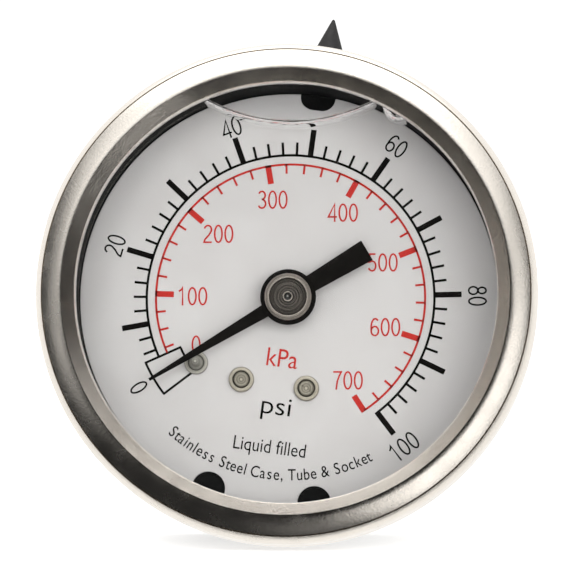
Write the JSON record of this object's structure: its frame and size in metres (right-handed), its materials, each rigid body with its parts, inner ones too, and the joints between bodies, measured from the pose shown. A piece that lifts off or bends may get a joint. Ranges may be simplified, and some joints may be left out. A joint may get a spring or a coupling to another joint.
{
  "type": "pressure gauge",
  "caption": "Round liquid-filled dial pressure gauge with a steel case, a sprung Bourdon tube movement and a threaded stem at the centre of its back.",
  "frame": {"origin": "on the stem's axis, at the shoulder between its wrench square and its thread", "axes": "+Y along the stem, out of the back; the dial faces -Y; +Z towards 12 o'clock of the dial; +X to the right of someone reading it"},
  "size_m": [0.055, 0.055, 0.0607],
  "materials": {
    "case_steel": "satin drawn stainless steel",
    "bezel_steel": "fine blasted satin stainless steel",
    "window_glass": "clear flat glass",
    "black_rubber": "matte black rubber",
    "dial_white": "semi-matte white paint, printed scale",
    "nickel": "dull nickel plate",
    "pointer_black": "matte black paint",
    "turned_steel": "turned stainless steel",
    "brass": "machined brass",
    "spring_bronze": "rolled phosphor bronze",
    "tube_steel": "drawn stainless tube",
    "socket_steel": "milled and turned stainless steel",
    "plug_rubber": "matte black moulded rubber, lightly dusty"
  },
  "bodies": {
    "housing": {"case": "case_steel", "bezel": "bezel_steel", "window": "window_glass", "window_gasket": "black_rubber", "dial": "dial_white", "dial_screw_left": "nickel", "dial_screw_right": "nickel", "stop_pin": "nickel", "dial_post_left": "brass", "dial_post_right": "brass", "movement_front_plate": "brass", "movement_back_plate": "brass", "movement_pillar_1": "brass", "movement_pillar_2": "brass", "movement_pillar_3": "brass", "movement_screw_1": "turned_steel", "movement_screw_2": "turned_steel", "hairspring": "spring_bronze", "hairspring_stud": "brass", "bourdon_tube": "tube_steel", "socket": "socket_steel", "socket_gasket": "black_rubber", "socket_screw_left": "turned_steel", "socket_screw_right": "turned_steel", "restrictor_screw": "brass"},
    "arbor": {"pinion_arbor": "turned_steel", "pointer": "pointer_black", "pointer_bush": "turned_steel", "hairspring_collet": "brass"},
    "sector": {"sector_gear": "brass", "sector_shaft": "turned_steel", "link_pin_sector": "turned_steel"},
    "tube_end": {"tube_tip": "tube_steel", "link_pin_tube": "turned_steel"},
    "link_rod": {"link": "turned_steel"},
    "plug": {"vent_plug": "plug_rubber"}
  },
  "joints": [
    {"name": "pointer_sweep", "type": "hinge", "parent": "housing", "child": "arbor", "pos_m": [0, -0.0222, 0], "axis": [0, 1, 0], "range_deg": [0, 270], "stiffness_Nm_per_rad": 0.0004, "springref_deg": -34.38, "deforming": ["hairspring"]},
    {"name": "sector_swing", "type": "hinge", "parent": "housing", "child": "sector", "pos_m": [0.00974, -0.0222, -0.00562], "axis": [0, 1, 0], "range_deg": [-34, 0]},
    {"name": "tube_flex", "type": "hinge", "parent": "housing", "child": "tube_end", "pos_m": [-0.00401, -0.01775, 0.00446], "axis": [0, 1, 0], "range_deg": [-7.6, 0], "deforming": ["bourdon_tube"]},
    {"name": "link_swing", "type": "hinge", "parent": "tube_end", "child": "link_rod", "pos_m": [0.01748, -0.023, -0.00092], "axis": [0, 1, 0], "range_deg": [0, 2.7]},
    {"name": "vent_plug_pull", "type": "slide", "parent": "housing", "child": "plug", "axis": [0, 0, 1], "range_m": [0, 0.006]}
  ],
  "couplings": [
    {"joint": "sector_swing", "follows": "pointer_sweep", "ratio": -0.125},
    {"joint": "tube_flex", "follows": "pointer_sweep", "ratio": -0.027778},
    {"joint": "link_swing", "follows": "pointer_sweep", "ratio": 0.0098148}
  ]
}
